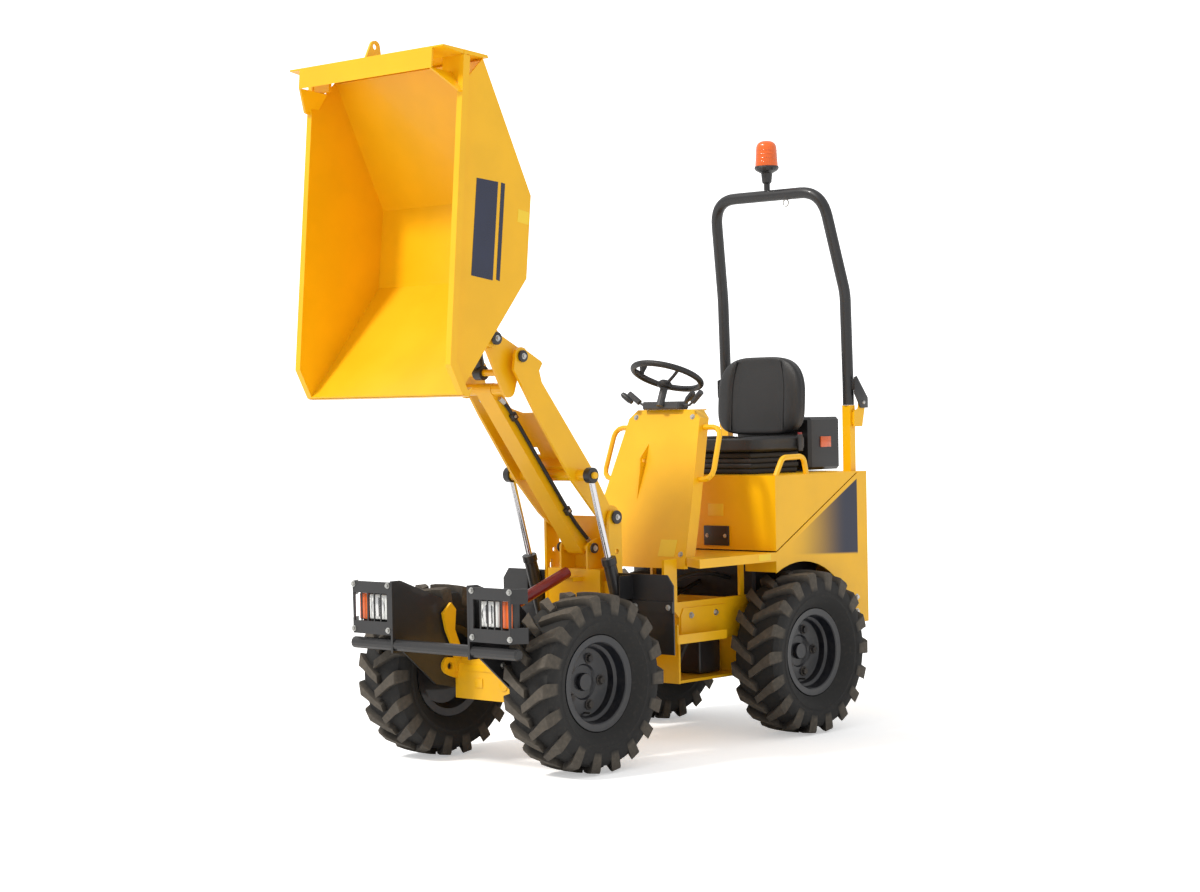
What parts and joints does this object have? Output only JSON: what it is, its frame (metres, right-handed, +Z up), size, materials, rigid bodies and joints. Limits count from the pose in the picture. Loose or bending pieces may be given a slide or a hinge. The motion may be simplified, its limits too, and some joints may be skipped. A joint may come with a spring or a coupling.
{
  "type": "hi-tip site dumper",
  "caption": "Compact articulated site dumper with a high-lift parallelogram arm, forward-tipping skip, folding roll bar and rear operator seat.",
  "frame": {"origin": "centre of the machine's plan box on the ground, under the machine with its lift raised and skip tipped", "axes": "+X to the machine's left, +Y to its rear, +Z up; the skip faces -Y"},
  "size_m": [0.99, 2.4804, 2.6359],
  "materials": {
    "amber_lens": "amber lens",
    "black_paint": "satin black enamel",
    "black_vinyl": "matt black vinyl",
    "cast_iron": "dark painted casting",
    "chrome_rod": "polished",
    "grey_plastic": "dark grey moulding",
    "hose_rubber": "braided black hose",
    "lamp_glass": "clear ribbed lens",
    "red_paint": "red enamel",
    "rim_paint": "blue-black enamel",
    "tyre_rubber": "matt black tyre rubber",
    "yellow_paint": "satin yellow enamel"
  },
  "bodies": {
    "wheel_front_left": {"tyre_front_left": "tyre_rubber", "rim_front_left": "rim_paint"},
    "wheel_front_right": {"tyre_front_right": "tyre_rubber", "rim_front_right": "rim_paint"},
    "wheel_rear_left": {"tyre_rear_left": "tyre_rubber", "rim_rear_left": "rim_paint"},
    "wheel_rear_right": {"tyre_rear_right": "tyre_rubber", "rim_rear_right": "rim_paint"},
    "front_chassis": {"front_axle": "cast_iron", "front_frame": "yellow_paint", "bumper_tube": "black_paint", "safety_prop": "red_paint", "lamp_guard_left": "black_paint", "headlamp_left": "lamp_glass", "mudguard_left": "black_paint", "lamp_guard_right": "black_paint", "headlamp_right": "lamp_glass", "mudguard_right": "black_paint"},
    "rear_chassis": {"rear_axle": "cast_iron", "side_step_left": "yellow_paint", "side_step_right": "yellow_paint", "rear_frame": "yellow_paint", "engine_block": "cast_iron", "platform_floor": "yellow_paint", "body_shell": "yellow_paint", "roll_bar_base": "yellow_paint", "console": "yellow_paint", "steering_column": "grey_plastic"},
    "centre_link": {"link_hose_left": "hose_rubber", "link_hose_right": "hose_rubber", "centre_link": "yellow_paint"},
    "lift_arms": {"lift_arms": "yellow_paint"},
    "carrier": {"carrier": "yellow_paint"},
    "lift_barrels": {"lift_ram_barrel_left": "black_paint", "lift_ram_barrel_right": "black_paint"},
    "lift_rods": {"lift_ram_rod_left": "chrome_rod", "lift_ram_rod_right": "chrome_rod"},
    "tip_barrel": {"tip_ram_barrel": "black_paint"},
    "tip_rod": {"tip_ram_rod": "chrome_rod"},
    "skip": {"skip": "yellow_paint"},
    "roll_bar": {"roll_bar_hoop": "black_paint", "beacon_stem": "black_paint", "beacon_dome": "amber_lens"},
    "engine_cover": {"engine_cover": "yellow_paint", "seat_suspension": "black_vinyl", "seat_cushion": "black_vinyl", "seat_back": "black_vinyl", "rear_box": "black_paint"},
    "steering_wheel": {"steering_wheel": "black_vinyl"}
  },
  "joints": [
    {"name": "steer", "type": "hinge", "parent": "rear_chassis", "child": "front_chassis", "pos_m": [0, 0.03016, 0.328], "axis": [0, 0, 1], "range_deg": [-30, 30]},
    {"name": "lift", "type": "hinge", "parent": "front_chassis", "child": "lift_arms", "pos_m": [0, -0.15384, 0.904], "axis": [1, 0, 0], "range_deg": [0, 70.31]},
    {"name": "carrier_level", "type": "hinge", "parent": "lift_arms", "child": "carrier", "pos_m": [0, -0.6281, 1.51784], "axis": [1, 0, 0], "range_deg": [-70.41, 0]},
    {"name": "link_swing", "type": "hinge", "parent": "front_chassis", "child": "centre_link", "pos_m": [0, -0.18484, 0.785], "axis": [1, 0, 0], "range_deg": [0, 70.41]},
    {"name": "tip", "type": "hinge", "parent": "carrier", "child": "skip", "pos_m": [0, -0.7501, 1.58283], "axis": [-1, 0, 0], "range_deg": [0, 85.06]},
    {"name": "lift_ram_swing", "type": "hinge", "parent": "front_chassis", "child": "lift_barrels", "pos_m": [0, -0.14484, 0.43], "axis": [1, 0, 0], "range_deg": [0, 15.71]},
    {"name": "lift_ram_stroke", "type": "slide", "parent": "lift_barrels", "child": "lift_rods", "axis": [0, 0.2793, -0.9602], "range_m": [0, 0.24169]},
    {"name": "tip_ram_swing", "type": "hinge", "parent": "carrier", "child": "tip_barrel", "pos_m": [0, -0.6901, 1.45983], "axis": [-1, 0, 0], "range_deg": [0, 57.97]},
    {"name": "tip_ram_stroke", "type": "slide", "parent": "tip_barrel", "child": "tip_rod", "axis": [0, 0.2663, -0.9639], "range_m": [0, 0.12178]},
    {"name": "roll_front_left", "type": "hinge", "parent": "front_chassis", "child": "wheel_front_left", "pos_m": [0.3875, -0.56984, 0.328], "axis": [1, 0, 0], "continuous": true},
    {"name": "roll_front_right", "type": "hinge", "parent": "front_chassis", "child": "wheel_front_right", "pos_m": [-0.3875, -0.56984, 0.328], "axis": [1, 0, 0], "continuous": true},
    {"name": "roll_rear_left", "type": "hinge", "parent": "rear_chassis", "child": "wheel_rear_left", "pos_m": [0.3875, 0.70116, 0.328], "axis": [1, 0, 0], "continuous": true},
    {"name": "roll_rear_right", "type": "hinge", "parent": "rear_chassis", "child": "wheel_rear_right", "pos_m": [-0.3875, 0.70116, 0.328], "axis": [1, 0, 0], "continuous": true},
    {"name": "steering_turn", "type": "hinge", "parent": "rear_chassis", "child": "steering_wheel", "pos_m": [0, 0.33916, 1.397], "axis": [0, 0.3746, 0.9272], "continuous": true},
    {"name": "roll_bar_fold", "type": "hinge", "parent": "rear_chassis", "child": "roll_bar", "pos_m": [0, 1.17516, 1.325], "axis": [-1, 0, 0], "range_deg": [0, 90]},
    {"name": "cover_tilt", "type": "hinge", "parent": "rear_chassis", "child": "engine_cover", "pos_m": [0, 0.50716, 0.726], "axis": [1, 0, 0], "range_deg": [0, 25]}
  ],
  "couplings": [
    {"joint": "carrier_level", "follows": "lift", "ratio": -1},
    {"joint": "link_swing", "follows": "lift", "ratio": 1},
    {"joint": "lift_ram_swing", "follows": "lift", "ratio": 0.22124},
    {"joint": "lift_ram_stroke", "follows": "lift", "m_per_rad": 0.195},
    {"joint": "tip_ram_swing", "follows": "tip", "ratio": 0.67478},
    {"joint": "tip_ram_stroke", "follows": "tip", "m_per_rad": 0.081219}
  ]
}
